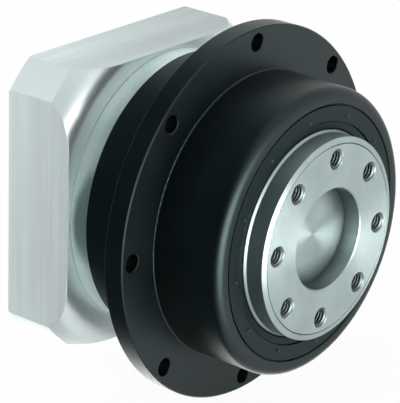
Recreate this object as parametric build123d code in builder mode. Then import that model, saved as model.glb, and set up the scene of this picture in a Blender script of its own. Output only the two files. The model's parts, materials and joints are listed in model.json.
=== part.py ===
from build123d import *
import os
from math import acos, cos, hypot, pi, radians, sin, sqrt, tan

# Flange-output planetary gearbox, one stage, with a square motor flange.
# Millimetres. The origin is the centre of the mounting flange's front face,
# +X runs along the output axis towards the driven side, and +Z is up.

os.makedirs("parts", exist_ok=True)

# Gear set
gear_module = 1.25
pressure_angle = radians(20)
sun_teeth = 18
planet_teeth = 18
ring_teeth = sun_teeth + 2 * planet_teeth
planet_count = 3
first_planet_angle = 90
gear_width = 9.6
dedendum_share = 1.25
backlash = 0.06

# Housing and mounting flange
ring_wall = 9.6875
pilot_length = 24
pilot_root_radius = 0.4
flange_thickness = 7
flange_hole_d = 5.5
flange_hole_count = 8
flange_hole_land = 9.5
flange_hole_margin = 4.5
nose_radius = 3.5
edge_break = 0.4
inner_break = 0.25
housing_wall = 6
shoulder_height = 2.8
spigot_length = 2.4
spigot_seat_step = 0.3

# Main bearings, two alike
bearing_section = 9
bearing_width = 10
bearing_gap = 1
ball_d = 5.5
ball_count = 18
ball_clearance = 0.05
race_shoulder = 3
race_chamfer = 0.5
cage_clearance = 0.35
cage_inset = 0.8
pocket_clearance = 0.15

# Bearing retaining ring in the housing
retainer_thickness = 2.5
retainer_play = 0.1
retainer_groove_depth = 1.6
retainer_height = 4.2
retainer_opening = 24
retainer_land = 2.3
lug_share = 0.55
lug_seat_share = 0.6
lug_hole_share = 0.45

# Output shaft seal, whose section the input seal repeats at its own width
seal_width = 8
seal_recess = 0.2
seal_seat_step = 1
seal_seat_gap = 0.1
seal_lip_clearance = 0.03
seal_leg = 1.6
seal_wall = 2.4
seal_sleeve_share = 0.35
seal_sleeve_end = 1.2
seal_blend = 0.9
seal_relief = 1.2
seal_main_lip = 5.6
seal_dust_lip = 1.5
seal_dust_lip_back = 0.8
seal_crease_width = 0.4
seal_crease_depth = 0.9
seal_spring_place = 5.4
seal_spring_r = 0.7
seal_slot_width = 0.5
seal_slot_depth = 0.9

# Output flange
face_stand = 6
boss_d = 63
boss_length = 6.2
running_step = 2.1
boss_bore_d = 31.5
boss_bore_depth = 6
boss_rim_width = 1.7
boss_rim_drop = 0.5
face_groove_width = 0.4
face_groove_depth = 0.25
tapped_d = 6
tapped_depth = 12
tapped_circle_d = 50
tapped_count = 8
tapped_chamfer = 0.3
output_rest_angle = -4.3

# Planet carrier, one piece with the output flange
nut_thickness = 3.2
nut_height = 3
nut_slot_count = 4
nut_slot_width = 5
nut_slot_depth = 1.5
nut_gap = 0.6
cheek_step = 1.25
cheek_run_out = 0.3
cheek_thickness = 3.5
window_clearance = 0.7
sun_front_gap = 0.6
tooth_overrun = 0.3
sun_clearance = 0.8
carrier_pocket_depth = 20
thread_play = 0.05

# Planet bearings
pin_d = 10
pin_seat_depth = 7
pin_chamfer = 0.5
roller_d = 2
roller_length = 7
roller_count = 12
roller_clearance = 0.03
needle_cage_width = 9
washer_thickness = 0.6
washer_height = 4.5
washer_play = 0.1
seat_play = 0.01

# Input housing
ring_step = 1
input_ring_length = 7
cheek_gap = 0.5
spigot_front_gap = 0.25
web_thickness = 2
spigot_clearance = 0.03
spigot_wall = 5.9
web_bore_step = 2.5

# Input bearing
input_section = 6
input_bearing_width = 7
input_ball_d = 3.4
input_ball_count = 12
input_race_shoulder = 1.8
input_cage_clearance = 0.3
input_cage_inset = 0.6
input_circlip_thickness = 1.5
input_circlip_land = 0.4
input_circlip_depth = 0.9
input_circlip_height = 2.4
circlip_opening = 8
shaft_circlip_thickness = 1.2
shaft_circlip_depth = 0.7
shaft_circlip_height = 1.9

# Input seal
input_seal_width = 5
input_seal_section = 6
hub_wall = 5

# Sun shaft with its clamping hub
motor_bore_d = 14
shaft_wall = 5.5
shaft_shoulder = 1.5
shaft_end_gap = 0.4
bore_end_reach = 0.6
hub_step = 1
slit_width = 1.5
slit_count = 4

# Clamp ring
clamp_width = 8.8
clamp_height = 8
clamp_end = 0.2
clamp_play = 0.02
clamp_screw_length = 16
clamp_head_seat = 4.5
clamp_hole_bottom = 0.25

# Motor adapter plate
motor_pilot_d = 80
motor_pilot_depth = 3.2
pilot_wall = 5
motor_hole_step = 10
corner_margin = 8
plate_thickness = 24.5
chamfer_run = 4.4
chamfer_depth = 7.2
chamfer_blend = 8
motor_tap_d = 6
motor_tap_depth = 16
clamp_gap = 1.5
access_d = 8
plug_length = 8
plug_recess = 0.4
plug_play = 0.03
plug_socket = 4
plug_socket_depth = 3.5

# Screws, all M4 with hexagon sockets
screw_d = 4
screw_head_d = 7
screw_head_height = 4
screw_socket = 3
screw_socket_depth = 2
screw_play = 0.05
head_play = 0.2
housing_screw_count = 8
housing_screw_length = 12
housing_screw_edge = 4.5
housing_screw_angle = 22.5
adapter_screw_count = 4
adapter_engagement = 6
adapter_web = 16
hole_bottom = 1

# Radii that follow from the gear set
sun_pitch_r = gear_module * sun_teeth / 2
planet_pitch_r = gear_module * planet_teeth / 2
ring_pitch_r = gear_module * ring_teeth / 2
centre_distance = sun_pitch_r + planet_pitch_r
planet_tip_r = planet_pitch_r + gear_module
planet_root_r = planet_pitch_r - dedendum_share * gear_module
sun_tip_r = sun_pitch_r + gear_module
sun_root_r = sun_pitch_r - dedendum_share * gear_module
ring_tip_r = ring_pitch_r - gear_module
ring_root_r = ring_pitch_r + dedendum_share * gear_module
body_r = ring_root_r + ring_wall
pilot_r = body_r
flange_hole_circle_r = pilot_r + flange_hole_land
flange_r = flange_hole_circle_r + flange_hole_margin

# Radii of the output side
bearing_outer_r = pilot_r - housing_wall
bearing_inner_r = bearing_outer_r - bearing_section
shoulder_r = bearing_outer_r - shoulder_height
running_r = bearing_inner_r + running_step
seal_seat_r = bearing_outer_r + seal_seat_step
cheek_r = bearing_inner_r - cheek_step
planet_window_r = planet_tip_r + window_clearance
sun_pass_r = sun_tip_r + sun_clearance
gear_bore_r = pin_d / 2 + roller_d
nut_r = bearing_inner_r + nut_height

# Radii of the input side
input_ring_r = body_r - ring_step
spigot_seat_r = shoulder_r + spigot_seat_step
spigot_r = spigot_seat_r - spigot_clearance
input_seat_r = motor_bore_d / 2 + shaft_wall
input_outer_r = input_seat_r + input_section
web_bore_r = input_seat_r + web_bore_step
shaft_seal_r = input_seat_r + shaft_shoulder
input_seal_seat_r = shaft_seal_r + input_seal_section
hub_r = input_seal_seat_r + hub_wall
clamp_hub_r = shaft_seal_r + hub_step
clamp_ring_r = clamp_hub_r + clamp_height
clamp_screw_offset = (clamp_hub_r + clamp_ring_r) / 2
clamp_cavity_r = clamp_ring_r + clamp_gap
plate_half = motor_pilot_d / 2 + pilot_wall
motor_hole_circle_r = motor_pilot_d / 2 + motor_hole_step
corner_r = motor_hole_circle_r + corner_margin
housing_screw_circle_r = input_ring_r - housing_screw_edge
adapter_screw_circle_r = spigot_r - spigot_wall / 2

# Places along the axis, from the driven side to the motor
x_output_face = pilot_length + face_stand
x_boss_root = x_output_face - boss_length
x_bore_floor = x_output_face - boss_bore_depth
x_seal_front = pilot_length - seal_recess
x_seal_rear = x_seal_front - seal_width
x_seal_seat = x_seal_rear - seal_seat_gap
x_groove_front = x_seal_seat - retainer_land
x_retainer_front = x_groove_front - retainer_play
x_bearing_front = x_retainer_front - retainer_thickness
x_spacer_front = x_bearing_front - bearing_width
x_spacer_rear = x_spacer_front - bearing_gap
x_shoulder = x_spacer_rear - bearing_width
x_nut_rear = x_shoulder - nut_thickness
x_window_front = x_nut_rear - nut_gap
x_gear_front = x_window_front - washer_thickness - washer_play
x_gear_rear = x_gear_front - gear_width
x_window_rear = x_gear_rear - washer_play - washer_thickness
x_teeth_rear = x_gear_rear - tooth_overrun
x_housing_rear = x_teeth_rear - spigot_length
x_cheek_rear = x_window_rear - cheek_thickness
x_spigot_front = x_window_rear - spigot_front_gap
x_web_front = x_cheek_rear - cheek_gap
x_web_rear = x_web_front - web_thickness
x_plate_front = x_housing_rear - input_ring_length
x_input_bearing_rear = x_web_rear - input_bearing_width
x_input_groove_rear = x_input_bearing_rear - input_circlip_thickness - retainer_play
x_input_seal_front = x_input_groove_rear - input_circlip_land
x_input_seal_rear = x_input_seal_front - input_seal_width
x_hub_rear = x_input_seal_rear - seal_recess
x_plate_rear = x_plate_front - plate_thickness
x_pilot_floor = x_plate_rear + motor_pilot_depth
x_shaft_end = x_pilot_floor + shaft_end_gap
x_clamp_rear = x_shaft_end + clamp_end
x_clamp_front = x_clamp_rear + clamp_width
x_clamp_middle = (x_clamp_front + x_clamp_rear) / 2
x_sun_front = x_window_front - sun_front_gap
x_shaft_bore_end = x_cheek_rear + bore_end_reach


def facing(x, direction=1):
    """A plane across the axis at x that looks towards +X or -X."""
    return Plane(origin=(x, 0, 0), x_dir=(0, 1, 0), z_dir=(direction, 0, 0))


def turned(points, rounds=()):
    """The half section of a turned piece, from (x, radius) points."""
    with BuildSketch(Plane.XZ) as section:
        with BuildLine():
            Polyline(*points, close=True)
        make_face()
        for corner, radius in rounds:
            fillet(section.vertices().sort_by_distance(corner)[0], radius=radius)
    return section.sketch


def tube_section(x_front, x_rear, inner, outer, break_size):
    """The half section of a plain ring with all four corners broken."""
    return turned(
        [
            (x_front - break_size, inner),
            (x_front, inner + break_size),
            (x_front, outer - break_size),
            (x_front - break_size, outer),
            (x_rear + break_size, outer),
            (x_rear, outer - break_size),
            (x_rear, inner + break_size),
            (x_rear + break_size, inner),
        ]
    )


def at(radius, angle):
    """A point of a cross section, in the plane of (Y, Z)."""
    return (radius * cos(angle), radius * sin(angle))


def gear_outline(teeth, root_r, tip_r, widening):
    """The closed outline of involute teeth, the first one centred on +Y.

    widening is added to each tooth's thickness on the pitch circle. The same
    outline serves as the cutter for the internal ring teeth.
    """
    pitch_r = gear_module * teeth / 2
    base_r = pitch_r * cos(pressure_angle)
    start_r = max(base_r, root_r)
    roll_start = sqrt((start_r / base_r) ** 2 - 1)
    roll_tip = sqrt((tip_r / base_r) ** 2 - 1)
    half_at_base = pi / (2 * teeth) + tan(pressure_angle) - pressure_angle
    half_at_base += widening / (2 * pitch_r)
    flank_count = 5

    def flank(centre, side):
        points = []
        for step in range(flank_count):
            roll = roll_start + (roll_tip - roll_start) * step / (flank_count - 1)
            radius = base_r * hypot(1, roll)
            swing = roll - acos(base_r / radius)
            points.append(at(radius, centre + side * (half_at_base - swing)))
        return points

    pitch = 2 * pi / teeth
    with BuildSketch() as outline:
        with BuildLine():
            for tooth in range(teeth):
                centre = tooth * pitch
                rising = flank(centre, -1)
                falling = flank(centre, 1)
                following = flank(centre + pitch, -1)
                Spline(*rising)
                ThreePointArc(rising[-1], at(tip_r, centre), falling[-1])
                Spline(*falling)
                root = at(root_r, centre + pitch / 2)
                ThreePointArc(falling[0], root, following[0])
        make_face()
    return outline.sketch


def seal_section(x_face, direction, width, shaft_r, outer_r):
    """A lip seal's half section: outer leg, membrane, main lip and dust lip."""
    size = width / seal_width
    sleeve_r = shaft_r + (outer_r - shaft_r) * seal_sleeve_share
    lip_r = shaft_r + seal_lip_clearance
    relief_r = shaft_r + seal_relief * size
    leg_r = outer_r - seal_leg * size
    wall = seal_wall * size
    blend = seal_blend * size
    sleeve_end = width - seal_sleeve_end * size
    crease = seal_crease_depth * size
    crease_r = sleeve_r - seal_crease_width * size
    profile = [
        (0, outer_r - seal_slot_width * size),
        (seal_slot_depth * size, outer_r - seal_slot_width * size),
        (seal_slot_depth * size, outer_r),
        (width - edge_break, outer_r),
        (width, outer_r - edge_break),
        (width, leg_r),
        (wall, leg_r),
        (wall, sleeve_r + blend),
        (wall + blend, sleeve_r),
        (sleeve_end, sleeve_r),
        (sleeve_end, relief_r),
        (seal_main_lip * size, lip_r),
        (wall + blend, relief_r),
        (wall, relief_r),
        (seal_dust_lip * size, lip_r),
        (seal_dust_lip_back * size, shaft_r + blend / 2),
        (crease / 2, crease_r),
        (crease, crease_r),
        (crease, sleeve_r),
        (0, sleeve_r),
    ]
    return turned([(x_face - direction * u, r) for u, r in profile])


def save(builder, label):
    """Names a finished piece and writes its STEP file."""
    builder.part.label = label
    export_step(builder.part, "parts/" + label + ".step")


# Housing: black turned body with mounting flange and the ring gear cut in it
with BuildPart() as housing:
    revolve(
        turned(
            [
                (pilot_length, seal_seat_r + inner_break),
                (pilot_length, pilot_r),
                (0, pilot_r),
                (0, flange_r - edge_break),
                (-edge_break, flange_r),
                (edge_break - flange_thickness, flange_r),
                (-flange_thickness, flange_r - edge_break),
                (-flange_thickness, body_r),
                (x_housing_rear + edge_break, body_r),
                (x_housing_rear, body_r - edge_break),
                (x_housing_rear, spigot_seat_r),
                (x_teeth_rear, spigot_seat_r),
                (x_teeth_rear, ring_tip_r - gear_module),
                (x_window_front, ring_tip_r - gear_module),
                (x_window_front, shoulder_r),
                (x_shoulder, shoulder_r),
                (x_shoulder, bearing_outer_r + seat_play),
                (x_bearing_front - retainer_play, bearing_outer_r + seat_play),
                (x_bearing_front - retainer_play, bearing_outer_r + retainer_groove_depth),
                (x_groove_front, bearing_outer_r + retainer_groove_depth),
                (x_groove_front, bearing_outer_r + seat_play),
                (x_seal_seat, bearing_outer_r + seat_play),
                (x_seal_seat, seal_seat_r + seat_play),
                (pilot_length - inner_break, seal_seat_r + seat_play),
            ],
            rounds=[
                ((pilot_length, pilot_r), nose_radius),
                ((0, pilot_r), pilot_root_radius),
            ],
        ),
        axis=Axis.X,
    )
    with BuildSketch(facing(x_teeth_rear)):
        add(gear_outline(ring_teeth, ring_tip_r, ring_root_r, backlash))
    extrude(amount=x_window_front - x_teeth_rear, mode=Mode.SUBTRACT)
    with Locations(facing(0)):
        with PolarLocations(flange_hole_circle_r, flange_hole_count):
            CounterSinkHole(flange_hole_d / 2, flange_hole_d / 2 + inner_break)
    with Locations(facing(x_housing_rear, -1)):
        with PolarLocations(
            housing_screw_circle_r, housing_screw_count, housing_screw_angle
        ):
            Hole(screw_d / 2, housing_screw_length + hole_bottom)
save(housing, "housing")

# Output flange: bolting face, bearing seats and planet carrier in one piece
with BuildPart() as output_flange:
    revolve(
        turned(
            [
                (x_bore_floor, 0),
                (x_bore_floor, boss_bore_d / 2),
                (x_output_face - edge_break, boss_bore_d / 2),
                (x_output_face, boss_bore_d / 2 + edge_break),
                (x_output_face, boss_d / 2 - boss_rim_width - face_groove_width),
                (
                    x_output_face - face_groove_depth,
                    boss_d / 2 - boss_rim_width - face_groove_width / 2,
                ),
                (x_output_face, boss_d / 2 - boss_rim_width),
                (x_output_face - boss_rim_drop, boss_d / 2),
                (x_boss_root, boss_d / 2),
                (x_boss_root - (running_r - boss_d / 2), running_r),
                (x_bearing_front, running_r),
                (x_bearing_front, bearing_inner_r - seat_play),
                (x_shoulder, bearing_inner_r - seat_play),
                (x_shoulder - race_chamfer, bearing_inner_r - race_chamfer),
                (x_shoulder - race_chamfer, bearing_inner_r - thread_play),
                (x_nut_rear, bearing_inner_r - thread_play),
                (x_nut_rear - cheek_run_out, cheek_r),
                (x_cheek_rear + edge_break, cheek_r),
                (x_cheek_rear, cheek_r - edge_break),
                (x_cheek_rear, 0),
            ]
        ),
        axis=Axis.X,
    )
    with BuildSketch(facing(x_window_rear)):
        with PolarLocations(centre_distance, planet_count, first_planet_angle):
            Circle(planet_window_r)
    extrude(amount=x_window_front - x_window_rear, mode=Mode.SUBTRACT)
    with Locations(facing(x_cheek_rear, -1)):
        Hole(sun_pass_r, x_window_front - x_cheek_rear + carrier_pocket_depth)
        with PolarLocations(centre_distance, planet_count, -first_planet_angle):
            Hole(pin_d / 2 + seat_play, x_window_front - x_cheek_rear + pin_seat_depth)
    with Locations(facing(x_output_face)):
        with PolarLocations(tapped_circle_d / 2, tapped_count, output_rest_angle):
            CounterSinkHole(tapped_d / 2, tapped_d / 2 + tapped_chamfer, tapped_depth)
save(output_flange, "output_flange")


def ball_bearing(name, x_front, width, inner_r, outer_r, shoulder, ball, count, cage):
    """Writes a ball bearing as inner ring, outer ring, cage and set of balls."""
    circle_r = (inner_r + outer_r) / 2
    x_middle = x_front - width / 2
    x_rear = x_front - width
    gap, inset = cage
    rings = {
        "_inner_ring": (inner_r, inner_r + shoulder),
        "_outer_ring": (outer_r - shoulder, outer_r),
    }
    for tail, (bore_r, rim_r) in rings.items():
        with BuildPart() as race_ring:
            revolve(tube_section(x_front, x_rear, bore_r, rim_r, race_chamfer), axis=Axis.X)
            with BuildSketch(Plane.XZ):
                with Locations((x_middle, circle_r)):
                    Circle(ball / 2 + ball_clearance)
            revolve(axis=Axis.X, mode=Mode.SUBTRACT)
        save(race_ring, name + tail)
    cage_inner_r = inner_r + shoulder + gap
    cage_outer_r = outer_r - shoulder - gap
    with BuildPart() as ball_cage:
        revolve(
            turned(
                [
                    (x_front - inset, cage_inner_r),
                    (x_front - inset, cage_outer_r),
                    (x_rear + inset, cage_outer_r),
                    (x_rear + inset, cage_inner_r),
                ]
            ),
            axis=Axis.X,
        )
        with Locations(facing(x_middle)):
            with PolarLocations(circle_r, count):
                Cylinder(
                    ball / 2 + pocket_clearance,
                    2 * (outer_r - inner_r),
                    rotation=(0, 90, 0),
                    mode=Mode.SUBTRACT,
                )
    save(ball_cage, name + "_cage")
    with BuildPart() as balls:
        with Locations(facing(x_middle)):
            with PolarLocations(circle_r, count):
                Sphere(ball / 2)
    save(balls, name + "_balls")


main_bearing = (
    bearing_width,
    bearing_inner_r,
    bearing_outer_r,
    race_shoulder,
    ball_d,
    ball_count,
    (cage_clearance, cage_inset),
)
ball_bearing("front_bearing", x_bearing_front, *main_bearing)
ball_bearing("rear_bearing", x_spacer_rear, *main_bearing)
ball_bearing(
    "input_bearing",
    x_web_rear,
    input_bearing_width,
    input_seat_r,
    input_outer_r,
    input_race_shoulder,
    input_ball_d,
    input_ball_count,
    (input_cage_clearance, input_cage_inset),
)

# Spacer rings that set the distance between the two main bearings
with BuildPart() as bearing_outer_spacer:
    revolve(
        tube_section(
            x_spacer_front,
            x_spacer_rear,
            bearing_outer_r - race_shoulder,
            bearing_outer_r,
            inner_break,
        ),
        axis=Axis.X,
    )
save(bearing_outer_spacer, "bearing_outer_spacer")

with BuildPart() as bearing_inner_spacer:
    revolve(
        tube_section(
            x_spacer_front,
            x_spacer_rear,
            bearing_inner_r,
            bearing_inner_r + race_shoulder,
            inner_break,
        ),
        axis=Axis.X,
    )
save(bearing_inner_spacer, "bearing_inner_spacer")


def retaining_ring(x_front, thickness, inner, outer, opening, lug_side):
    """An open spring ring, with lugs beside its gap on the side given."""
    with BuildPart() as ring:
        with BuildSketch(facing(x_front - thickness)):
            Circle(outer)
            Circle(inner, mode=Mode.SUBTRACT)
            with PolarLocations((inner + outer) / 2, 1, -90):
                Rectangle(2 * (outer - inner), opening, mode=Mode.SUBTRACT)
            lug_r = (outer - inner) * lug_share
            edge_r = inner if lug_side < 0 else outer
            lug_circle_r = edge_r - lug_side * lug_r * lug_seat_share
            reach = (opening / 2 + lug_r) / edge_r
            for side in (-1, 1):
                with Locations(at(lug_circle_r, -pi / 2 + side * reach)):
                    Circle(lug_r)
                    Circle(lug_r * lug_hole_share, mode=Mode.SUBTRACT)
        extrude(amount=thickness)
    return ring


# Spring ring that holds the main bearings in the housing
bearing_retaining_ring = retaining_ring(
    x_retainer_front,
    retainer_thickness,
    bearing_outer_r + retainer_groove_depth - retainer_height,
    bearing_outer_r + retainer_groove_depth - retainer_play,
    retainer_opening,
    -1,
)
save(bearing_retaining_ring, "bearing_retaining_ring")

# Output shaft seal with its garter spring
with BuildPart() as output_seal:
    revolve(seal_section(x_seal_front, 1, seal_width, running_r, seal_seat_r), axis=Axis.X)
save(output_seal, "output_seal")


def garter_spring(x_face, direction, width, shaft_r, outer_r):
    """The closed spring that lies on a seal's main lip."""
    size = width / seal_width
    spring_r = seal_spring_r * size
    x_spring = x_face - direction * seal_spring_place * size
    sleeve_r = shaft_r + (outer_r - shaft_r) * seal_sleeve_share
    with BuildPart() as spring:
        with BuildSketch(Plane.XZ):
            with Locations((x_spring, sleeve_r + spring_r)):
                Circle(spring_r - seat_play)
        revolve(axis=Axis.X)
    return spring


output_seal_spring = garter_spring(x_seal_front, 1, seal_width, running_r, seal_seat_r)
save(output_seal_spring, "output_seal_spring")

# Slotted nut that clamps the inner rings on the carrier
with BuildPart() as bearing_lock_nut:
    revolve(
        tube_section(x_shoulder, x_nut_rear, bearing_inner_r, nut_r, inner_break),
        axis=Axis.X,
    )
    with BuildSketch(facing(x_nut_rear)):
        with PolarLocations(nut_r, nut_slot_count):
            Rectangle(2 * nut_slot_depth, nut_slot_width)
    extrude(amount=nut_thickness, mode=Mode.SUBTRACT)
save(bearing_lock_nut, "bearing_lock_nut")

# Planet pins, pressed through the rear cheek into the front cheek
pin_length = x_window_front + pin_seat_depth - x_cheek_rear
with BuildPart() as planet_pins:
    with BuildSketch(facing(x_cheek_rear)):
        with PolarLocations(centre_distance, planet_count, first_planet_angle):
            Circle(pin_d / 2)
    extrude(amount=pin_length - seat_play)
    chamfer(planet_pins.edges().filter_by(GeomType.CIRCLE), length=pin_chamfer)
save(planet_pins, "planet_pins")

with BuildPart() as planet_washers:
    for x_washer in (x_window_rear, x_window_front - washer_thickness):
        with BuildSketch(facing(x_washer)):
            with PolarLocations(centre_distance, planet_count, first_planet_angle):
                Circle(pin_d / 2 + washer_height)
                Circle(pin_d / 2 + washer_play, mode=Mode.SUBTRACT)
        extrude(amount=washer_thickness)
save(planet_washers, "planet_washers")


def planet_place(number, x):
    """The plane of one planet's end face, turned so that its teeth mesh."""
    angle = radians(first_planet_angle + number * 360 / planet_count)
    y, z = at(centre_distance, angle)
    half_tooth = pi / planet_teeth
    turn = angle + half_tooth
    return Plane(origin=(x, y, z), x_dir=(0, cos(turn), sin(turn)), z_dir=(1, 0, 0))


needle_circle_r = pin_d / 2 + roller_d / 2
for number in range(planet_count):
    tail = "_" + str(number + 1)
    with BuildPart() as planet_gear:
        with BuildSketch(planet_place(number, x_gear_rear)):
            add(gear_outline(planet_teeth, planet_root_r, planet_tip_r, -backlash))
            Circle(gear_bore_r, mode=Mode.SUBTRACT)
        extrude(amount=gear_width)
        bore_edges = planet_gear.edges().filter_by(
            lambda edge: edge.geom_type == GeomType.CIRCLE
            and abs(edge.radius - gear_bore_r) < seat_play
        )
        chamfer(bore_edges, length=inner_break)
    save(planet_gear, "planet_gear" + tail)
    x_roller = x_gear_rear + (gear_width - roller_length) / 2
    with BuildPart() as needle_rollers:
        with BuildSketch(planet_place(number, x_roller)):
            with PolarLocations(needle_circle_r, roller_count):
                Circle(roller_d / 2 - roller_clearance)
        extrude(amount=roller_length)
    save(needle_rollers, "needle_rollers" + tail)
    x_cage = x_gear_rear + (gear_width - needle_cage_width) / 2
    x_pocket = x_roller - pocket_clearance
    with BuildPart() as needle_cage:
        with BuildSketch(planet_place(number, x_cage)):
            Circle(gear_bore_r - cage_clearance)
            Circle(pin_d / 2 + cage_clearance, mode=Mode.SUBTRACT)
        extrude(amount=needle_cage_width)
        with BuildSketch(planet_place(number, x_pocket)):
            with PolarLocations(needle_circle_r, roller_count):
                Rectangle(2 * roller_d, roller_d + pocket_clearance)
        extrude(amount=roller_length + 2 * pocket_clearance, mode=Mode.SUBTRACT)
    save(needle_cage, "needle_cage" + tail)


def socket_screw(place, length):
    """One hexagon socket screw whose head seats on the plane's face."""
    with BuildPart() as screw:
        with BuildSketch(place):
            Circle(screw_head_d / 2)
        extrude(amount=screw_head_height)
        with BuildSketch(place):
            Circle(screw_d / 2 - screw_play)
        extrude(amount=-length)
        with BuildSketch(place.offset(screw_head_height)):
            RegularPolygon(screw_socket / 2, 6, major_radius=False)
        extrude(amount=-screw_socket_depth, mode=Mode.SUBTRACT)
    return screw.part


def screw_ring(x_seat, circle_r, count, start, length):
    """Like screws on a circle, their heads towards the motor."""
    with BuildPart() as screws:
        for spot in PolarLocations(circle_r, count, start):
            y, z = spot.position.X, -spot.position.Y
            place = Plane(origin=(x_seat, y, z), x_dir=(0, 1, 0), z_dir=(-1, 0, 0))
            add(socket_screw(place, length))
    return screws


# Input housing: bright cover with the input bearing's seat and hub
with BuildPart() as input_housing:
    revolve(
        turned(
            [
                (x_housing_rear, spigot_r),
                (x_housing_rear, input_ring_r - inner_break),
                (x_housing_rear - inner_break, input_ring_r),
                (x_plate_front + inner_break, input_ring_r),
                (x_plate_front, input_ring_r - inner_break),
                (x_plate_front, hub_r),
                (x_hub_rear + edge_break, hub_r),
                (x_hub_rear, hub_r - edge_break),
                (x_hub_rear, input_seal_seat_r + seat_play),
                (x_input_seal_front, input_seal_seat_r + seat_play),
                (x_input_seal_front, input_outer_r + seat_play),
                (x_input_groove_rear, input_outer_r + seat_play),
                (x_input_groove_rear, input_outer_r + input_circlip_depth),
                (x_input_bearing_rear, input_outer_r + input_circlip_depth),
                (x_input_bearing_rear, input_outer_r + seat_play),
                (x_web_rear, input_outer_r + seat_play),
                (x_web_rear, web_bore_r),
                (x_web_front, web_bore_r),
                (x_web_front, spigot_r - spigot_wall),
                (x_spigot_front, spigot_r - spigot_wall),
                (x_spigot_front, spigot_r),
            ]
        ),
        axis=Axis.X,
    )
    with Locations(facing(x_plate_front, -1)):
        with PolarLocations(
            housing_screw_circle_r, housing_screw_count, housing_screw_angle
        ):
            CounterBoreHole(
                screw_d / 2 + head_play,
                screw_head_d / 2 + head_play,
                screw_head_height + head_play,
            )
        with PolarLocations(adapter_screw_circle_r, adapter_screw_count):
            Hole(screw_d / 2, adapter_engagement + hole_bottom)
save(input_housing, "input_housing")

housing_screws = screw_ring(
    x_plate_front + screw_head_height + head_play,
    housing_screw_circle_r,
    housing_screw_count,
    housing_screw_angle,
    housing_screw_length,
)
save(housing_screws, "housing_screws")

input_bearing_circlip = retaining_ring(
    x_input_bearing_rear,
    input_circlip_thickness,
    input_outer_r + input_circlip_depth - input_circlip_height,
    input_outer_r + input_circlip_depth - retainer_play,
    circlip_opening,
    -1,
)
save(input_bearing_circlip, "input_bearing_circlip")

with BuildPart() as input_seal:
    revolve(
        seal_section(
            x_input_seal_rear, -1, input_seal_width, shaft_seal_r, input_seal_seat_r
        ),
        axis=Axis.X,
    )
save(input_seal, "input_seal")

input_seal_spring = garter_spring(
    x_input_seal_rear, -1, input_seal_width, shaft_seal_r, input_seal_seat_r
)
save(input_seal_spring, "input_seal_spring")

# Sun gear shaft: sun teeth, bearing seat and slit clamping hub in one piece
x_circlip_rear = x_web_rear
x_circlip_front = x_circlip_rear + shaft_circlip_thickness
with BuildPart() as sun_gear_shaft:
    revolve(
        turned(
            [
                (x_window_rear, 0),
                (x_window_rear, sun_root_r),
                (x_cheek_rear, sun_root_r),
                (x_cheek_rear, input_seat_r - inner_break),
                (x_cheek_rear - inner_break, input_seat_r),
                (x_circlip_front + retainer_play, input_seat_r),
                (x_circlip_front + retainer_play, input_seat_r - shaft_circlip_depth),
                (x_circlip_rear, input_seat_r - shaft_circlip_depth),
                (x_circlip_rear, input_seat_r - seat_play),
                (x_input_bearing_rear, input_seat_r - seat_play),
                (x_input_bearing_rear, shaft_seal_r),
                (x_hub_rear, shaft_seal_r),
                (x_hub_rear, clamp_hub_r),
                (x_shaft_end + inner_break, clamp_hub_r),
                (x_shaft_end, clamp_hub_r - inner_break),
                (x_shaft_end, 0),
            ]
        ),
        axis=Axis.X,
    )
    with BuildSketch(facing(x_window_rear)):
        add(gear_outline(sun_teeth, sun_root_r, sun_tip_r, -backlash), rotation=first_planet_angle)
    extrude(amount=x_sun_front - x_window_rear)
    with Locations(facing(x_shaft_end, -1)):
        CounterSinkHole(
            motor_bore_d / 2,
            motor_bore_d / 2 + inner_break,
            x_shaft_bore_end - x_shaft_end,
        )
    with BuildSketch(facing(x_shaft_end)):
        with PolarLocations(clamp_hub_r, slit_count):
            Rectangle(2 * (clamp_hub_r - motor_bore_d / 2 + slit_width), slit_width)
    extrude(amount=x_clamp_front - x_shaft_end, mode=Mode.SUBTRACT)
save(sun_gear_shaft, "sun_gear_shaft")

shaft_circlip = retaining_ring(
    x_circlip_front,
    shaft_circlip_thickness,
    input_seat_r - shaft_circlip_depth + clamp_play,
    input_seat_r - shaft_circlip_depth + shaft_circlip_height,
    circlip_opening,
    1,
)
save(shaft_circlip, "shaft_circlip")

# Clamp ring around the slit hub, with its screw across the gap
screw_place = Plane(
    origin=(x_clamp_middle, clamp_head_seat, clamp_screw_offset),
    x_dir=(1, 0, 0),
    z_dir=(0, 1, 0),
)
with BuildPart() as clamp_ring:
    revolve(
        tube_section(
            x_clamp_front, x_clamp_rear, clamp_hub_r + clamp_play, clamp_ring_r, edge_break
        ),
        axis=Axis.X,
    )
    with BuildSketch(Plane.XY.offset(clamp_hub_r - clamp_height / 2)):
        with Locations((x_clamp_middle, 0)):
            Rectangle(2 * clamp_width, slit_width)
    extrude(amount=2 * clamp_height, mode=Mode.SUBTRACT)
    with BuildSketch(screw_place):
        Circle(screw_head_d / 2 + head_play)
    extrude(amount=clamp_ring_r, mode=Mode.SUBTRACT)
    with BuildSketch(screw_place):
        Circle(screw_d / 2)
    extrude(amount=-clamp_screw_length - clamp_hole_bottom, mode=Mode.SUBTRACT)
save(clamp_ring, "clamp_ring")

with BuildPart() as clamp_screw:
    add(socket_screw(screw_place, clamp_screw_length - clamp_head_seat))
save(clamp_screw, "clamp_screw")

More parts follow.
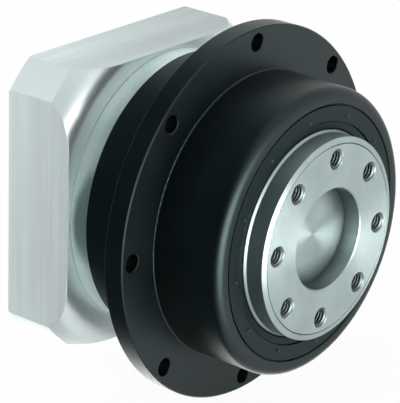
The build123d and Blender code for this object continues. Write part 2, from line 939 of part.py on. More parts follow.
# Motor adapter plate: square plate with turned corners
access_place = Plane(
    origin=(x_clamp_middle, plate_half, clamp_screw_offset),
    x_dir=(1, 0, 0),
    z_dir=(0, 1, 0),
)
with BuildPart() as motor_adapter_plate:
    with BuildSketch(facing(x_plate_rear)):
        Rectangle(2 * plate_half, 2 * plate_half)
    extrude(amount=plate_thickness)
    revolve(
        turned(
            [
                (x_plate_front, 0),
                (x_plate_front, corner_r - chamfer_run),
                (x_plate_front - chamfer_depth, corner_r),
                (x_plate_rear + edge_break, corner_r),
                (x_plate_rear, corner_r - edge_break),
                (x_plate_rear, 0),
            ],
            rounds=[((x_plate_front, corner_r - chamfer_run), chamfer_blend)],
        ),
        axis=Axis.X,
        mode=Mode.INTERSECT,
    )
    revolve(
        turned(
            [
                (x_plate_front, 0),
                (x_plate_front, hub_r + spigot_clearance),
                (x_hub_rear, hub_r + spigot_clearance),
                (x_hub_rear, clamp_cavity_r),
                (x_pilot_floor, clamp_cavity_r),
                (x_pilot_floor, motor_pilot_d / 2),
                (x_plate_rear + edge_break, motor_pilot_d / 2),
                (x_plate_rear, motor_pilot_d / 2 + edge_break),
                (x_plate_rear, 0),
            ]
        ),
        axis=Axis.X,
        mode=Mode.SUBTRACT,
    )
    with Locations(facing(x_plate_rear, -1)):
        with PolarLocations(motor_hole_circle_r, 4, 45):
            CounterSinkHole(
                motor_tap_d / 2, motor_tap_d / 2 + tapped_chamfer, motor_tap_depth
            )
    with Locations(facing(x_pilot_floor, -1)):
        with PolarLocations(adapter_screw_circle_r, adapter_screw_count):
            CounterBoreHole(
                screw_d / 2 + head_play,
                screw_head_d / 2 + head_play,
                x_plate_front - x_pilot_floor - adapter_web,
            )
    with BuildSketch(access_place):
        Circle(access_d / 2)
    extrude(amount=clamp_cavity_r / 2 - plate_half, mode=Mode.SUBTRACT)
save(motor_adapter_plate, "motor_adapter_plate")

adapter_screws = screw_ring(
    x_plate_front - adapter_web,
    adapter_screw_circle_r,
    adapter_screw_count,
    0,
    adapter_web + adapter_engagement,
)
save(adapter_screws, "adapter_screws")

# Screw plug that closes the access hole to the clamp screw
with BuildPart() as access_plug:
    with BuildSketch(access_place.offset(-plug_recess)):
        Circle(access_d / 2 - plug_play)
    extrude(amount=-plug_length)
    with BuildSketch(access_place.offset(-plug_recess)):
        RegularPolygon(plug_socket / 2, 6, major_radius=False)
    extrude(amount=-plug_socket_depth, mode=Mode.SUBTRACT)
save(access_plug, "access_plug")
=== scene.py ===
"""Finishes, tapped threads, seal nibs and studio for a flange-output planetary gearbox."""

import json
from math import cos, pi, radians, sin

import bpy
from mathutils import Matrix, Vector


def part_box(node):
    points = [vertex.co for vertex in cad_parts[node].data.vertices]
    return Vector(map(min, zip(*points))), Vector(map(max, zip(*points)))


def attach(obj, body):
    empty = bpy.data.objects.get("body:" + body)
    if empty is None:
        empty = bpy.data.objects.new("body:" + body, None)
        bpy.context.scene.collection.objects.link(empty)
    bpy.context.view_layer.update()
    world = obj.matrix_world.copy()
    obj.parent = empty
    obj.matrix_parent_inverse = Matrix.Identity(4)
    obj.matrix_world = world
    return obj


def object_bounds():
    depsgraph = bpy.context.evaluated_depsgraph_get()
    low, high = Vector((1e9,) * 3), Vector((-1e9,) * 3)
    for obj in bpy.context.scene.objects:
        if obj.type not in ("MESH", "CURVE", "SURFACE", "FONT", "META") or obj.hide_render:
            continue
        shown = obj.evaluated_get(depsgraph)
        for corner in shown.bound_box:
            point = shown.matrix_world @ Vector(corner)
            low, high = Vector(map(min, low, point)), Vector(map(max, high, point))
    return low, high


bl_info = {
    "name": "Planetary gearbox",
    "version": (1, 0, 0),
    "blender": (4, 5, 0),
    "location": "3D View > Sidebar > Gearbox",
    "description": "Dresses a flange-output planetary gearbox and lights it",
    "category": "Object",
}

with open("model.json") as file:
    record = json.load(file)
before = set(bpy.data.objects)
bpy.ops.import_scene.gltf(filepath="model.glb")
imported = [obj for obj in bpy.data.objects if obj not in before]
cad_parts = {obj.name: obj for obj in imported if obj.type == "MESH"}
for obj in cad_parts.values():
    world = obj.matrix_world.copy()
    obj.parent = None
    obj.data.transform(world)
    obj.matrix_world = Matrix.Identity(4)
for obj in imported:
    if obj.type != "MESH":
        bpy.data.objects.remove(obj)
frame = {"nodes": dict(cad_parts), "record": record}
cad_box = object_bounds()

MM = 0.001
BOSS_R = 31.5 * MM  # the output flange's centring boss


def slot_nodes(slot):
    """The carried-over pieces that take one material slot."""
    return [row["node"] for row in frame["record"]["subparts"] if row["material_slot"] == slot]


# Sizes and colours that a user would change

class GearboxFinish(bpy.types.PropertyGroup):
    """Colours and roughness of the gearbox's finishes."""

    black: bpy.props.FloatVectorProperty(
        name="Housing black", description="Oxide black of the housing",
        subtype="COLOR", default=(0.0016, 0.0028, 0.0032),
    )
    black_roughness: bpy.props.FloatProperty(
        name="Housing roughness", description="Roughness of the satin black",
        subtype="FACTOR", default=0.38, min=0, max=1,
    )
    flange_steel: bpy.props.FloatVectorProperty(
        name="Flange steel", description="Fine turned steel of the output flange",
        subtype="COLOR", default=(0.39, 0.475, 0.47),
    )
    aluminium: bpy.props.FloatVectorProperty(
        name="Aluminium", description="Bright milled aluminium of the square plate",
        subtype="COLOR", default=(0.68, 0.765, 0.76),
    )
    cover: bpy.props.FloatVectorProperty(
        name="Input housing", description="Bright aluminium of the ring behind the black housing",
        subtype="COLOR", default=(0.80, 0.91, 0.90),
    )
    rubber: bpy.props.FloatVectorProperty(
        name="Seal rubber", description="Dark rubber of the shaft seals",
        subtype="COLOR", default=(0.007, 0.012, 0.013),
    )
    # painted shade: the thread colour is far darker than the flange steel, to stand for the shade inside
    # the tapped holes
    shade_darkened_thread_steel: bpy.props.FloatVectorProperty(
        name="Thread steel", description="Oiled steel in the tapped holes",
        subtype="COLOR", default=(0.11, 0.135, 0.135),
    )
    bearing_steel: bpy.props.FloatVectorProperty(
        name="Bearing steel", description="Ground steel of bearing rings, spacers, pins and washers",
        subtype="COLOR", default=(0.56, 0.58, 0.59),
    )
    gear_steel: bpy.props.FloatVectorProperty(
        name="Gear steel", description="Ground steel of the planet gears and the sun gear's shaft",
        subtype="COLOR", default=(0.42, 0.43, 0.43),
    )


class GearboxThread(bpy.types.PropertyGroup):
    """The output flange's tapped holes and their metric thread."""

    circle_r: bpy.props.FloatProperty(
        name="Hole circle", description="Radius of the circle that the tapped holes lie on",
        unit="LENGTH", default=25 * MM,
    )
    count: bpy.props.IntProperty(
        name="Holes", description="How many tapped holes lie on the circle", default=8, min=3,
    )
    start: bpy.props.FloatProperty(
        name="First hole", description="Place of the first hole, from +Y towards +Z",
        subtype="ANGLE", default=radians(-4.3),
    )
    depth: bpy.props.FloatProperty(
        name="Thread depth", description="How far the thread runs into a hole",
        unit="LENGTH", default=12 * MM,
    )
    major: bpy.props.FloatProperty(
        name="Thread diameter", description="Outer diameter of the thread",
        unit="LENGTH", default=6 * MM,
    )
    minor: bpy.props.FloatProperty(
        name="Core diameter", description="Diameter at the thread's crests",
        unit="LENGTH", default=4.92 * MM,
    )
    pitch: bpy.props.FloatProperty(
        name="Pitch", description="Rise of the thread in one turn",
        unit="LENGTH", default=1 * MM,
    )


class GearboxSeal(bpy.types.PropertyGroup):
    """The small moulded nibs on the output seal's face."""

    circle_r: bpy.props.FloatProperty(
        name="Nib circle", description="Radius of the circle that the nibs lie on",
        unit="LENGTH", default=36.6 * MM,
    )
    diameter: bpy.props.FloatProperty(
        name="Nib diameter", description="Diameter of a nib at its foot",
        unit="LENGTH", default=1.5 * MM,
    )
    height: bpy.props.FloatProperty(
        name="Nib height", description="How far a nib stands out of the seal's face",
        unit="LENGTH", default=0.6 * MM,
    )
    count: bpy.props.IntProperty(
        name="Nibs", description="How many nibs lie on the circle", default=12, min=3,
    )
    start: bpy.props.FloatProperty(
        name="First nib", description="Place of the first nib, from +Y towards +Z",
        subtype="ANGLE", default=radians(7),
    )


class GearboxStudio(bpy.types.PropertyGroup):
    """Camera, floor and lamps."""

    azimuth: bpy.props.FloatProperty(
        name="Azimuth", description="Where the camera stands around the gearbox",
        subtype="ANGLE", default=radians(38.9523),
    )
    elevation: bpy.props.FloatProperty(
        name="Elevation", description="How high the camera stands",
        subtype="ANGLE", default=radians(21.6253),
    )
    roll: bpy.props.FloatProperty(
        name="Roll", description="How far the camera is tipped sideways",
        subtype="ANGLE", default=radians(2.0115),
    )
    distance: bpy.props.FloatProperty(
        name="Distance", description="From the camera to the point that it looks at",
        unit="LENGTH", default=0.74,
    )
    target: bpy.props.FloatVectorProperty(
        name="Target", description="The point that the camera looks at",
        subtype="TRANSLATION", default=(-0.008, -0.01457, 0.00574),
    )
    lens: bpy.props.FloatProperty(
        name="Lens", description="Focal length in millimetres on a 36 mm sensor",
        unit="CAMERA", default=219.17,
    )
    floor: bpy.props.FloatVectorProperty(
        name="Floor", description="Pale colour of the floor",
        subtype="COLOR", default=(0.9, 0.9, 0.9),
    )
    floor_gap: bpy.props.FloatProperty(
        name="Floor gap", description="How far the floor lies under the gearbox",
        unit="LENGTH", default=0.2 * MM,
    )
    key_power: bpy.props.FloatProperty(
        name="Key lamp", description="Power of the large lamp at the camera's left, in watts",
        unit="POWER", default=7,
    )
    top_power: bpy.props.FloatProperty(
        name="Top lamp", description="Power of the lamp overhead, in watts",
        unit="POWER", default=2,
    )
    soft_box: bpy.props.FloatProperty(
        name="Soft box", description="Brightness of the soft box that the edges mirror", default=9,
    )
    soft_light: bpy.props.FloatProperty(
        name="Soft light", description="Brightness of the even light on dull surfaces", default=0.74,
    )


# Nodes of the materials

def feed(tree, value, socket):
    """Gives an input a plain value, or links another node's output to it."""
    if isinstance(value, bpy.types.NodeSocket):
        tree.links.new(value, socket)
    else:
        socket.default_value = value


def add_node(tree, kind, values=None, **settings):
    """A new node with its settings, its inputs fed by values or by other nodes."""
    node = tree.nodes.new(kind)
    for name, value in settings.items():
        setattr(node, name, value)
    for socket, value in (values or {}).items():
        feed(tree, value, node.inputs[socket])
    return node


def new_finish(name, colour, values):
    """A material whose shader holds the values that are the same all over."""
    material = bpy.data.materials.new(name)
    material.use_nodes = True
    material.diffuse_color = (*colour, 1)
    tree = material.node_tree
    shader = tree.nodes["Principled BSDF"]
    shader.inputs["Base Color"].default_value = (*colour, 1)
    for socket, value in values.items():
        shader.inputs[socket].default_value = value
    return material, tree, shader


def reckoned(tree, operation, *values):
    """A number worked out from others."""
    return add_node(tree, "ShaderNodeMath", dict(enumerate(values)), operation=operation).outputs[0]


def mapped(tree, value, start, end, first, last, **settings):
    """A number that runs from first to last while a value runs from start to end."""
    spread = add_node(
        tree, "ShaderNodeMapRange",
        {"Value": value, "From Min": start, "From Max": end, "To Min": first, "To Max": last},
        **settings,
    )
    return spread.outputs["Result"]


def between(tree, share, first, second):
    """A number between two others."""
    return add_node(
        tree, "ShaderNodeMix", {0: share, 2: first, 3: second}, data_type="FLOAT",
    ).outputs[0]


def dulled(tree, colour, share):
    """A colour times a share of it."""
    return add_node(
        tree, "ShaderNodeMix", {0: 1.0, 6: colour, 7: share}, data_type="RGBA", blend_type="MULTIPLY",
    ).outputs[2]


def mixed_shader(tree, share, first, second):
    """The first shader's node with a share of the second one's in its place."""
    return add_node(
        tree, "ShaderNodeMixShader", {"Fac": share, 1: first.outputs[0], 2: second.outputs[0]},
    )


def place_nodes(tree):
    """Object coordinates, the place along the axis, and the radius."""
    place = add_node(tree, "ShaderNodeTexCoord").outputs["Object"]
    split = add_node(tree, "ShaderNodeSeparateXYZ", {0: place})
    across = add_node(tree, "ShaderNodeVectorMath", {0: place, 1: (0, 1, 1)}, operation="MULTIPLY")
    radius = add_node(tree, "ShaderNodeVectorMath", {0: across.outputs[0]}, operation="LENGTH")
    return place, split.outputs["X"], radius.outputs["Value"]


def noise_node(tree, vector, spacing, detail=3.0):
    """Noise whose features are about the given spacing wide."""
    noise = add_node(
        tree, "ShaderNodeTexNoise",
        {"Vector": vector, "Scale": 1 / spacing, "Detail": detail, "Roughness": 0.55},
    )
    return noise.outputs["Fac"]


def stretched(tree, vector, stretch):
    """Coordinates scaled along each axis, so that noise turns into streaks."""
    return add_node(tree, "ShaderNodeMapping", {"Vector": vector, "Scale": stretch}).outputs[0]


def vary(tree, noise, low, high, socket):
    """Drives a shader input from noise, between a low and a high value."""
    feed(tree, mapped(tree, noise, 0.3, 0.7, low, high), socket)


def vary_colour(tree, noise, colour, spread, socket):
    """Drives a colour input from noise, a little darker and a little lighter."""
    ramp = add_node(tree, "ShaderNodeValToRGB", {"Fac": noise})
    dark, light = ramp.color_ramp.elements
    dark.position, light.position = 0.32, 0.68
    dark.color = (*[part * (1 - spread) for part in colour], 1)
    light.color = (*[min(part * (1 + spread), 1) for part in colour], 1)
    feed(tree, ramp.outputs["Color"], socket)


def colour_of(shader):
    """The output that drives a shader's colour."""
    return shader.inputs["Base Color"].links[0].from_socket


def painted_hollow_shade(tree, colour, reach, darkest):
    """A colour with painted shade in hollows, darker where neighbouring surfaces stand within reach."""
    hollow = add_node(
        tree, "ShaderNodeAmbientOcclusion", {"Distance": reach}, samples=8, only_local=True,
    )
    return dulled(tree, colour, mapped(tree, hollow.outputs["AO"], 0.25, 0.95, darkest, 1))


def bumped(tree, height, depth, strength, shader, edge=0.0):
    """A fine relief on the surface, over edges rounded as far as asked."""
    bump = add_node(tree, "ShaderNodeBump", {"Height": height, "Strength": strength, "Distance": depth})
    if edge:
        rounded = add_node(tree, "ShaderNodeBevel", {"Radius": edge}, samples=6)
        feed(tree, rounded.outputs[0], bump.inputs["Normal"])
    feed(tree, bump.outputs["Normal"], shader.inputs["Normal"])


def round_tangent(tree, shader):
    """Highlights that stretch across the turning marks, around the axis."""
    tangent = add_node(tree, "ShaderNodeTangent", direction_type="RADIAL", axis="X")
    feed(tree, tangent.outputs[0], shader.inputs["Tangent"])


# Finishes

def satin_black():
    """Oxide black of the housing, with faint clouds and a fine grain."""
    finish = bpy.context.scene.gearbox_finish
    material, tree, shader = new_finish(
        "satin_black", finish.black,
        {"IOR": 1.45, "Metallic": 0, "Specular Tint": (0.72, 1, 1, 1)},
    )
    place = add_node(tree, "ShaderNodeTexCoord").outputs["Object"]
    grain = noise_node(tree, place, 0.35 * MM)
    clouds = noise_node(tree, place, 14 * MM)
    vary_colour(tree, clouds, finish.black, 0.25, shader.inputs["Base Color"])
    vary(tree, clouds, finish.black_roughness - 0.03, finish.black_roughness + 0.03,
         shader.inputs["Roughness"])
    bumped(tree, grain, 0.02 * MM, 0.25, shader)
    return material


def turned_metal(name, colour, roughness, anisotropy, mark_width, spread=0.08):
    """Metal with turning marks round the axis and a highlight across them."""
    material, tree, shader = new_finish(
        name, colour, {"Metallic": 1, "Anisotropic": anisotropy, "Anisotropic Rotation": 0.25},
    )
    place, along, radius = place_nodes(tree)
    turned = add_node(tree, "ShaderNodeCombineXYZ", {"X": along, "Y": radius})
    marks = noise_node(tree, turned.outputs[0], mark_width, 4)
    clouds = noise_node(tree, place, 9 * MM)
    vary_colour(tree, clouds, colour, spread, shader.inputs["Base Color"])
    vary(tree, marks, roughness * 0.85, roughness * 1.2, shader.inputs["Roughness"])
    bumped(tree, marks, 0.01 * MM, 0.3, shader)
    round_tangent(tree, shader)
    return material


def flange_steel():
    """Turned steel of the output flange, with painted shade in its hollows and on the annulus outside the
    centring boss.
    """
    finish = bpy.context.scene.gearbox_finish
    material = turned_metal("flange_steel", finish.flange_steel, 0.34, 0.8, 0.5 * MM, 0.07)
    tree = material.node_tree
    shader = tree.nodes["Principled BSDF"]
    radius = place_nodes(tree)[2]
    # painted shade: the annulus outside the centring boss is darkened to 0.6 of its colour
    painted_rim_shade = mapped(tree, radius, BOSS_R + 0.2 * MM, BOSS_R + 0.7 * MM, 1, 0.6)
    colour = dulled(tree, colour_of(shader), painted_rim_shade)
    # painted shade in the hollows: bore, tapped holes and boss root
    feed(tree, painted_hollow_shade(tree, colour, 7 * MM, 0.1), shader.inputs["Base Color"])
    return material


def shade_darkened_thread_steel():
    """Steel of a tapped thread, made darker than the turned faces as painted shade inside the holes."""
    finish = bpy.context.scene.gearbox_finish
    return turned_metal("shade_darkened_thread_steel", finish.shade_darkened_thread_steel, 0.42, 0.1, 0.3 * MM, 0.2)


def painted_shade_on_flats(tree, place, flats, shader):
    """Paints shade on the plate's flats: darker towards their front edge and towards +Y."""
    split = add_node(tree, "ShaderNodeSeparateXYZ", {0: place})
    to_front = mapped(tree, split.outputs["X"], -56 * MM, -42 * MM, 1, 0.86)
    to_right = mapped(tree, split.outputs["Y"], -25 * MM, 42 * MM, 1, 0.72)
    painted_flat_shade = between(tree, flats, 1.0, reckoned(tree, "MULTIPLY", to_front, to_right))
    feed(tree, dulled(tree, colour_of(shader), painted_flat_shade), shader.inputs["Base Color"])


def milled_aluminium():
    """Bright plate: turned front and corners, long milling streaks and painted shade on the four matte
    flats.
    """
    finish = bpy.context.scene.gearbox_finish
    material, tree, shader = new_finish(
        "milled_aluminium", finish.aluminium, {"Anisotropic": 0.3, "Anisotropic Rotation": 0.25},
    )
    coordinates = add_node(tree, "ShaderNodeTexCoord")
    place = coordinates.outputs["Object"]
    fine = noise_node(tree, stretched(tree, place, (1, 0.02, 0.02)), 1.3 * MM, 4)
    broad = noise_node(tree, stretched(tree, place, (1, 0.12, 0.12)), 9 * MM, 2)
    normal = add_node(tree, "ShaderNodeSeparateXYZ", {0: coordinates.outputs["Normal"]})
    ahead, aside, upward = [reckoned(tree, "ABSOLUTE", normal.outputs[axis]) for axis in "XYZ"]
    flats = mapped(tree, reckoned(tree, "MAXIMUM", aside, upward), 0.9, 0.98, 0, 1)
    streaks = between(tree, flats, 0.5, between(tree, 0.55, fine, broad))
    vary_colour(tree, streaks, finish.aluminium, 0.12, shader.inputs["Base Color"])
    feed(tree, mapped(tree, ahead, 0.1, 0.9, 0.5, 0.33), shader.inputs["Roughness"])
    feed(tree, mapped(tree, ahead, 0.1, 0.9, 0.3, 0.75), shader.inputs["Metallic"])
    # painted shade on the flats, darker towards their front edge and towards +Y
    painted_shade_on_flats(tree, place, flats, shader)
    bumped(tree, streaks, 0.02 * MM, 0.3, shader, 0.4 * MM)
    round_tangent(tree, shader)
    return material


def moulded(name, colour, roughness, grain_size, depth):
    """Rubber or plastic with a fine moulded grain."""
    material, tree, shader = new_finish(
        name, colour,
        {"Metallic": 0, "IOR": 1.45, "Specular IOR Level": 0.25, "Specular Tint": (0.65, 1, 1, 1)},
    )
    place = add_node(tree, "ShaderNodeTexCoord").outputs["Object"]
    grain = noise_node(tree, place, grain_size)
    clouds = noise_node(tree, place, 6 * MM)
    vary_colour(tree, clouds, colour, 0.12, shader.inputs["Base Color"])
    vary(tree, grain, roughness - 0.06, roughness + 0.06, shader.inputs["Roughness"])
    bumped(tree, grain, depth, 0.3, shader)
    return material


class GEARBOX_OT_finish_nodes(bpy.types.Operator):
    """Gives each carried-over piece its finish"""

    bl_idname = "gearbox.finish_nodes"
    bl_label = "Finish the carried-over pieces"

    def execute(self, context):
        finish = context.scene.gearbox_finish
        finishes = {
            "housing_black": satin_black(),
            "flange_steel": flange_steel(),
            "cover_aluminium": turned_metal(
                "cover_aluminium", finish.cover, 0.42, 0.4, 0.6 * MM, 0.04,
            ),
            "adapter_aluminium": milled_aluminium(),
            "seal_rubber": moulded("seal_rubber", finish.rubber, 0.5, 0.25 * MM, 0.02 * MM),
            "spring_steel": turned_metal("spring_steel", (0.2, 0.2, 0.2), 0.4, 0.2, 0.4 * MM),
            "bearing_steel": turned_metal("bearing_steel", finish.bearing_steel, 0.16, 0.4, 0.3 * MM),
            "polished_balls": turned_metal("polished_balls", (0.78, 0.79, 0.8), 0.06, 0, 2 * MM, 0.02),
            "cage_polyamide": moulded(
                "cage_polyamide", (0.62, 0.52, 0.34), 0.45, 0.3 * MM, 0.015 * MM,
            ),
            "gear_steel": turned_metal("gear_steel", finish.gear_steel, 0.24, 0.4, 0.3 * MM),
            "clamp_steel": turned_metal("clamp_steel", (0.26, 0.27, 0.28), 0.34, 0.4, 0.5 * MM),
            "screw_black": turned_metal("screw_black", (0.035, 0.035, 0.037), 0.38, 0.2, 0.4 * MM),
            "plug_steel": turned_metal("plug_steel", (0.5, 0.5, 0.49), 0.3, 0.3, 0.4 * MM),
        }
        for slot, material in finishes.items():
            for node in slot_nodes(slot):
                mesh = frame["nodes"][node].data
                mesh.materials.clear()
                mesh.materials.append(material)
        return {"FINISHED"}


# Modelling by operators

def select_nothing():
    """Leaves edit mode and deselects every object."""
    if bpy.context.object and bpy.context.object.mode != "OBJECT":
        bpy.ops.object.mode_set(mode="OBJECT")
    bpy.ops.object.select_all(action="DESELECT")


def select_piece(piece):
    """Selects one piece alone and makes it the active one."""
    select_nothing()
    piece.select_set(True)
    bpy.context.view_layer.objects.active = piece


def apply_place():
    """Puts the active piece's place into its mesh."""
    bpy.ops.object.transform_apply(location=True, rotation=True, scale=True)


def keep_piece(piece, name, body, material):
    """Names a finished piece, finishes its surface and lets it ride on its body."""
    piece.name = name
    piece.data.name = name
    piece.data.materials.clear()
    piece.data.materials.append(material)
    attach(piece, body)


def on_circle(circle_r, count, start):
    """The (Y, Z) places of holes or nibs on a circle round the axis."""
    angles = [start + 2 * pi * k / count for k in range(count)]
    return [(circle_r * cos(a), circle_r * sin(a)) for a in angles]


def copied_to(model, places):
    """The modelled piece and its copies, each with its own mesh, moved from the axis to (Y, Z) places."""
    pieces = [model]
    for _ in places[1:]:
        select_piece(model)
        bpy.ops.object.duplicate()
        pieces.append(bpy.context.object)
    for piece, (y, z) in zip(pieces, places):
        select_piece(piece)
        piece.location = (0, y, z)
        apply_place()
    return pieces


def joined(pieces):
    """The pieces as one object."""
    select_piece(pieces[0])
    for piece in pieces:
        piece.select_set(True)
    bpy.ops.object.join()
    return bpy.context.object


def thread_outline(thread):
    """A loop of four edges at the hole's radius: broad at its wall, narrow at the thread's crest."""
    root_r = thread.major / 2 + 0.01 * MM
    crest_r = thread.minor / 2
    middle_r = (root_r + crest_r) / 2
    root_width, crest_width = thread.pitch * 0.88, thread.pitch * 0.18
    select_nothing()
    bpy.ops.mesh.primitive_plane_add(size=1, location=(middle_r, 0, 0), rotation=(radians(90), 0, 0))
    outline = bpy.context.object
    outline.scale = (root_r - crest_r, root_width, 1)
    apply_place()
    bpy.ops.object.mode_set(mode="EDIT")
    bpy.ops.mesh.select_all(action="SELECT")
    bpy.ops.mesh.delete(type="ONLY_FACE")
    bpy.ops.mesh.select_all(action="DESELECT")
    bpy.ops.object.mode_set(mode="OBJECT")
    for vertex in outline.data.vertices:
        vertex.select = vertex.co.x < middle_r
    bpy.ops.object.mode_set(mode="EDIT")
    bpy.ops.transform.resize(value=(1, 1, crest_width / root_width), center_override=(0, 0, 0))
    bpy.ops.object.mode_set(mode="OBJECT")
    return outline


def thread_ridge(x_mouth, depth):
    """A helical thread ridge on the axis, running inwards from the mouth of a tapped hole."""
    thread = bpy.context.scene.gearbox_thread
    ridge = thread_outline(thread)
    screw = ridge.modifiers.new("thread", "SCREW")
    screw.axis = "Z"
    screw.screw_offset = thread.pitch
    screw.iterations = int(depth / thread.pitch) - 1
    screw.steps = screw.render_steps = 20
    bpy.ops.object.modifier_apply(modifier=screw.name)
    bpy.ops.object.mode_set(mode="EDIT")
    bpy.ops.mesh.select_all(action="SELECT")
    bpy.ops.mesh.fill_holes(sides=4)
    bpy.ops.mesh.normals_make_consistent(inside=False)
    bpy.ops.object.mode_set(mode="OBJECT")
    bpy.ops.object.shade_smooth_by_angle(angle=radians(30))
    ridge.rotation_euler = (0, radians(-90), 0)
    ridge.location = (x_mouth - thread.pitch * 0.6, 0, 0)
    apply_place()
    return ridge


class GEARBOX_OT_flange_threads(bpy.types.Operator):
    """Cuts the thread into the output flange's tapped holes"""

    bl_idname = "gearbox.flange_threads"
    bl_label = "Flange threads"

    def execute(self, context):
        thread = context.scene.gearbox_thread
        x_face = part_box("output_flange")[1].x
        holes = on_circle(thread.circle_r, thread.count, thread.start)
        ridges = copied_to(thread_ridge(x_face, thread.depth), holes)
        keep_piece(joined(ridges), "flange_threads", "output", shade_darkened_thread_steel())
        return {"FINISHED"}


def seal_nib(x_face):
    """A small tapered nib on the axis, its foot sunk into the seal's face."""
    nib = bpy.context.scene.gearbox_seal
    select_nothing()
    bpy.ops.mesh.primitive_cone_add(
        vertices=24, radius1=nib.diameter / 2, radius2=nib.diameter * 0.3,
        depth=2 * nib.height, location=(0, 0, 0),
    )
    piece = bpy.context.object
    bevel = piece.modifiers.new("round", "BEVEL")
    bevel.width = 0.1 * MM
    bevel.segments = 2
    bpy.ops.object.modifier_apply(modifier=bevel.name)
    bpy.ops.object.shade_smooth_by_angle(angle=radians(35))
    piece.rotation_euler = (0, radians(90), 0)
    piece.location = (x_face, 0, 0)
    apply_place()
    return piece


class GEARBOX_OT_seal_nibs(bpy.types.Operator):
    """Moulds the small nibs on the output seal's face"""

    bl_idname = "gearbox.seal_nibs"
    bl_label = "Seal nibs"

    def execute(self, context):
        nib = context.scene.gearbox_seal
        x_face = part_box("output_seal")[1].x
        places = on_circle(nib.circle_r, nib.count, nib.start)
        nibs = copied_to(seal_nib(x_face), places)
        material = bpy.data.materials["seal_rubber"]
        keep_piece(joined(nibs), "seal_nibs", "housing", material)
        return {"FINISHED"}


class GEARBOX_OT_stage(bpy.types.Operator):
    """Sets the floor, the soft lamps, the white surroundings and the camera"""

    bl_idname = "gearbox.stage"
    bl_label = "Stage"

    def execute(self, context):
        self.floor(context)
        self.surroundings(context)
        self.lamps(context)
        self.camera(context)
        context.scene.view_settings.view_transform = "Standard"
        return {"FINISHED"}

    def floor(self, context):
        """A pale floor that glows for the camera and that most reflections pass through."""
        studio = context.scene.gearbox_studio
        level = cad_box[0].z - studio.floor_gap
        select_nothing()
        bpy.ops.mesh.primitive_plane_add(size=6, location=(0, 0, level))
        floor = context.object
        floor.name = "floor"
        material, tree, shader = new_finish("pale_floor", studio.floor, {"Roughness": 0.7})
        paths = add_node(tree, "ShaderNodeLightPath").outputs
        glow_seen, glow_bounced = 0.96, 0.75
        seen = reckoned(tree, "MULTIPLY", paths["Is Camera Ray"], glow_seen)
        glowing = reckoned(tree, "MULTIPLY_ADD", paths["Is Diffuse Ray"], glow_bounced, seen)
        glow = add_node(tree, "ShaderNodeEmission", {"Color": (1, 1, 1, 1), "Strength": 1.0})
        pale = mixed_shader(tree, glowing, shader, glow)
        place = add_node(tree, "ShaderNodeTexCoord").outputs["Object"]
        under_pilot, near, far, clear_near = (22 * MM, 12 * MM, 0), 35 * MM, 80 * MM, 0.55
        away = add_node(tree, "ShaderNodeVectorMath", {0: place, 1: under_pilot}, operation="DISTANCE")
        beyond = mapped(
            tree, away.outputs["Value"], near, far, clear_near, 1, interpolation_type="SMOOTHSTEP",
        )
        passing = reckoned(tree, "MULTIPLY", paths["Is Glossy Ray"], beyond)
        clear = add_node(tree, "ShaderNodeBsdfTransparent")
        surface = mixed_shader(tree, passing, pale, clear)
        feed(tree, surface.outputs[0], tree.nodes["Material Output"].inputs["Surface"])
        floor.data.materials.append(material)

    def screen(self, tree, direction, towards, low, high, strength):
        """How bright a soft screen is in one direction: full near its middle, fading to its edge."""
        across = add_node(
            tree, "ShaderNodeVectorMath", {0: direction, 1: towards}, operation="DOT_PRODUCT",
        )
        return mapped(
            tree, across.outputs["Value"], low, high, 0, strength, interpolation_type="SMOOTHSTEP",
        )

    def surroundings(self, context):
        """White for the camera, even for dull surfaces, and screens round a dark corner for gloss."""
        studio = context.scene.gearbox_studio
        world = bpy.data.worlds.new("studio")
        context.scene.world = world
        world.use_nodes = True
        tree = world.node_tree
        direction = add_node(tree, "ShaderNodeTexCoord").outputs["Generated"]
        level = add_node(tree, "ShaderNodeVectorMath", {0: direction, 1: (1, 1, 0)}, operation="MULTIPLY")
        compass = add_node(tree, "ShaderNodeVectorMath", {0: level.outputs[0]}, operation="NORMALIZE")
        around = compass.outputs[0]
        in_front, at_right = (0.985, 0.174, 0), (0.087, 0.996, 0)
        overhead, behind_below = (0.2, 0.35, 0.915), (-0.53, 0.62, -0.58)
        in_front_below = (0.980, -0.172, -0.104)
        total = self.screen(tree, around, in_front, 0.30, 0.68, 1.05)
        for screen in (
            self.screen(tree, around, at_right, 0.0, 0.7, 0.85),
            self.screen(tree, direction, overhead, 0.5, 1.0, 0.8),
            self.screen(tree, direction, behind_below, 0.78, 1.0, 5.0),
        ):
            total = reckoned(tree, "SMOOTH_MAX", total, screen, 0.3)
        soft_box = self.screen(tree, direction, in_front_below, 0.83, 1.0, studio.soft_box)
        brightness = reckoned(tree, "ADD", total, soft_box)
        tint = add_node(tree, "ShaderNodeValToRGB", {"Fac": brightness})
        dark, light = tint.color_ramp.elements
        dark.color, light.color = (0.68, 0.98, 1, 1), (1, 1, 1, 1)
        gloss = add_node(
            tree, "ShaderNodeBackground", {"Color": tint.outputs["Color"], "Strength": brightness},
        )
        soft = tree.nodes["Background"]
        soft.inputs["Color"].default_value = (1, 1, 1, 1)
        soft.inputs["Strength"].default_value = studio.soft_light
        white = add_node(tree, "ShaderNodeBackground", {"Color": (1, 1, 1, 1), "Strength": 1.0})
        paths = add_node(tree, "ShaderNodeLightPath").outputs
        lighting = mixed_shader(tree, paths["Is Glossy Ray"], soft, gloss)
        backdrop = mixed_shader(tree, paths["Is Camera Ray"], lighting, white)
        feed(tree, backdrop.outputs[0], tree.nodes["World Output"].inputs["Surface"])

    def lamp(self, name, place, size, power):
        """A soft square lamp that looks at the gearbox."""
        light = bpy.data.lights.new(name, "AREA")
        light.shape = "RECTANGLE"
        light.size, light.size_y = size
        light.energy = power
        lamp = bpy.data.objects.new(name, light)
        bpy.context.scene.collection.objects.link(lamp)
        lamp.location = place
        lamp.rotation_euler = (-Vector(place)).to_track_quat("-Z", "Y").to_euler()
        lamp.visible_glossy = False

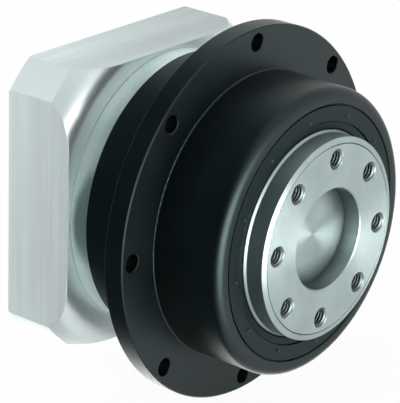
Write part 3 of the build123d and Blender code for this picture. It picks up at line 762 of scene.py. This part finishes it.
    def lamps(self, context):
        """The large lamp at the camera's left and the one overhead, both unseen in reflections."""
        studio = context.scene.gearbox_studio
        self.lamp("key_lamp", (-0.45, -0.9, 0.75), (0.9, 0.7), studio.key_power)
        self.lamp("top_lamp", (-0.6, -0.1, 1.2), (1.4, 1.4), studio.top_power)

    def camera(self, context):
        """The camera, turned towards its target from the set distance."""
        studio = context.scene.gearbox_studio
        turn = (
            Matrix.Rotation(studio.azimuth, 4, "Z")
            @ Matrix.Rotation(pi / 2 - studio.elevation, 4, "X")
            @ Matrix.Rotation(studio.roll, 4, "Z")
        )
        back = turn.to_3x3() @ Vector((0, 0, 1))
        data = bpy.data.cameras.new("camera")
        data.lens = studio.lens
        data.sensor_width = 36
        camera = bpy.data.objects.new("camera", data)
        context.scene.collection.objects.link(camera)
        camera.matrix_world = Matrix.Translation(Vector(studio.target) + back * studio.distance) @ turn
        context.scene.camera = camera


class GEARBOX_PT_panel(bpy.types.Panel):
    """The gearbox's pieces and stage, in the sidebar"""

    bl_label = "Planetary gearbox"
    bl_idname = "GEARBOX_PT_panel"
    bl_space_type = "VIEW_3D"
    bl_region_type = "UI"
    bl_category = "Gearbox"

    def draw(self, context):
        for operator in OPERATORS:
            self.layout.operator(operator.bl_idname)


GROUPS = {
    "gearbox_finish": GearboxFinish,
    "gearbox_thread": GearboxThread,
    "gearbox_seal": GearboxSeal,
    "gearbox_studio": GearboxStudio,
}
OPERATORS = (
    GEARBOX_OT_finish_nodes,
    GEARBOX_OT_flange_threads,
    GEARBOX_OT_seal_nibs,
    GEARBOX_OT_stage,
)


def register():
    for name, group in GROUPS.items():
        bpy.utils.register_class(group)
        setattr(bpy.types.Scene, name, bpy.props.PointerProperty(type=group))
    for operator in OPERATORS:
        bpy.utils.register_class(operator)
    bpy.utils.register_class(GEARBOX_PT_panel)


def unregister():
    bpy.utils.unregister_class(GEARBOX_PT_panel)
    for operator in reversed(OPERATORS):
        bpy.utils.unregister_class(operator)
    for name, group in GROUPS.items():
        delattr(bpy.types.Scene, name)
        bpy.utils.unregister_class(group)


def main():
    register()
    bpy.ops.gearbox.finish_nodes()
    bpy.ops.gearbox.flange_threads()
    bpy.ops.gearbox.seal_nibs()
    bpy.ops.gearbox.stage()


if __name__ == "__main__":
    main()
